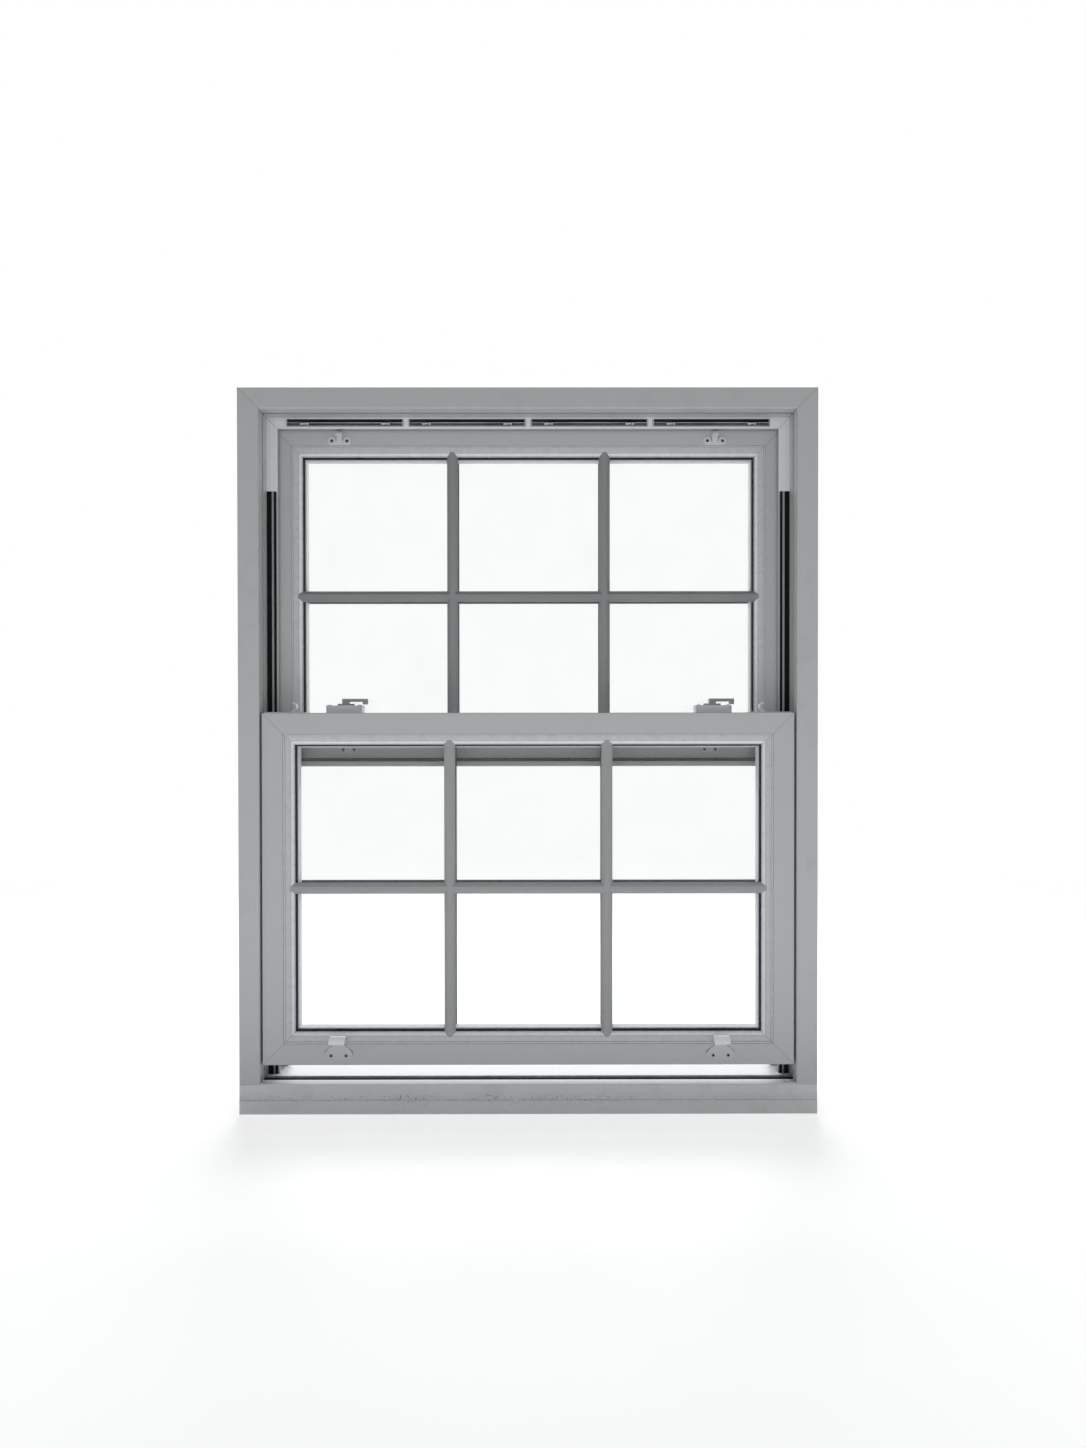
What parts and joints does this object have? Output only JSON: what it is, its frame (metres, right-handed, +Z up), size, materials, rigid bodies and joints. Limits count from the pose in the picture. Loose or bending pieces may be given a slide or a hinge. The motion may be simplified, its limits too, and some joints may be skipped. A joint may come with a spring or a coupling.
{
  "type": "vertical sliding sash window",
  "caption": "White plastic vertical sliding sash window in its frame, with double glazing, astragal bars, spiral balances, cam locks, tilt latches, lifts and slot vents.",
  "frame": {"origin": "centre of the frame's underside", "axes": "+X right seen from the room, +Y outwards through the wall, +Z up"},
  "size_m": [0.925, 0.152, 1.16],
  "materials": {
    "frame_plastic": "satin",
    "trim_plastic": "satin",
    "vent_plastic": "moulded",
    "pile": "woven pile",
    "gasket_rubber": "matt",
    "spacer_black": "matt",
    "glass": "clear",
    "bead_plastic": "satin",
    "bar_plastic": "satin",
    "sash_plastic": "satin",
    "steel": "zinc plated",
    "balance_plastic": "moulded",
    "screw_metal": "satin",
    "latch_plastic": "satin",
    "hardware_white": "satin"
  },
  "bodies": {
    "frame": {"head": "frame_plastic", "jamb_left": "frame_plastic", "jamb_right": "frame_plastic", "jamb_trim_left": "trim_plastic", "jamb_trim_right": "trim_plastic", "lower_balance_tubes": "balance_plastic", "parting_piles": "pile", "sill": "frame_plastic", "sill_seal": "gasket_rubber", "upper_balance_tubes": "balance_plastic", "vent_1": "vent_plastic", "vent_2": "vent_plastic", "vent_3": "vent_plastic", "vent_4": "vent_plastic", "vent_trim": "trim_plastic"},
    "lower_carriage": {"lower_shoes": "balance_plastic", "lower_balance_rods": "steel"},
    "lower_sash": {"latch_case_left": "latch_plastic", "latch_case_right": "latch_plastic", "lock_base_left": "hardware_white", "lock_base_right": "hardware_white", "lower_bars_inner": "bar_plastic", "lower_bars_outer": "bar_plastic", "lower_beads": "bead_plastic", "lower_bottom_rail": "sash_plastic", "lower_gaskets": "gasket_rubber", "lower_pane_inner": "glass", "lower_pane_outer": "glass", "lower_pivot_bars": "steel", "lower_screws": "screw_metal", "lower_spacer": "spacer_black", "lower_stile_left": "sash_plastic", "lower_stile_right": "sash_plastic", "lower_top_rail": "sash_plastic", "sash_lift_left": "hardware_white", "sash_lift_right": "hardware_white"},
    "tilt_latch_left": {"latch_bolt_left": "latch_plastic"},
    "tilt_latch_right": {"latch_bolt_right": "latch_plastic"},
    "cam_left": {"lock_lever_left": "hardware_white"},
    "cam_right": {"lock_lever_right": "hardware_white"},
    "upper_sash": {"finger_pull_left": "hardware_white", "finger_pull_right": "hardware_white", "lock_keepers": "hardware_white", "meeting_pile": "pile", "upper_balance_rods": "steel", "upper_bars_inner": "bar_plastic", "upper_bars_outer": "bar_plastic", "upper_beads": "bead_plastic", "upper_bottom_rail": "sash_plastic", "upper_gaskets": "gasket_rubber", "upper_pane_inner": "glass", "upper_pane_outer": "glass", "upper_pivot_bars": "steel", "upper_screws": "screw_metal", "upper_shoes": "balance_plastic", "upper_spacer": "spacer_black", "upper_stile_left": "sash_plastic", "upper_stile_right": "sash_plastic", "upper_top_rail": "sash_plastic"}
  },
  "joints": [
    {"name": "lower_sash_slide", "type": "slide", "parent": "frame", "child": "lower_carriage", "axis": [0, 0, 1], "range_m": [-0.029, 0.384]},
    {"name": "lower_sash_tilt", "type": "hinge", "parent": "lower_carriage", "child": "lower_sash", "pos_m": [0, -0.0405, 0.0831], "axis": [1, 0, 0], "range_deg": [0, 90]},
    {"name": "tilt_latch_left_slide", "type": "slide", "parent": "lower_sash", "child": "tilt_latch_left", "axis": [1, 0, 0], "range_m": [-0.008, 0]},
    {"name": "tilt_latch_right_slide", "type": "slide", "parent": "lower_sash", "child": "tilt_latch_right", "axis": [-1, 0, 0], "range_m": [-0.008, 0]},
    {"name": "cam_left_turn", "type": "hinge", "parent": "lower_sash", "child": "cam_left", "pos_m": [-0.298, -0.0265, 0.6425], "axis": [0, 0, -1], "range_deg": [0, 180]},
    {"name": "cam_right_turn", "type": "hinge", "parent": "lower_sash", "child": "cam_right", "pos_m": [0.3005, -0.0265, 0.6425], "axis": [0, 0, -1], "range_deg": [0, 180]},
    {"name": "upper_sash_slide", "type": "slide", "parent": "frame", "child": "upper_sash", "axis": [0, 0, 1], "range_m": [-0.405, 0]}
  ]
}
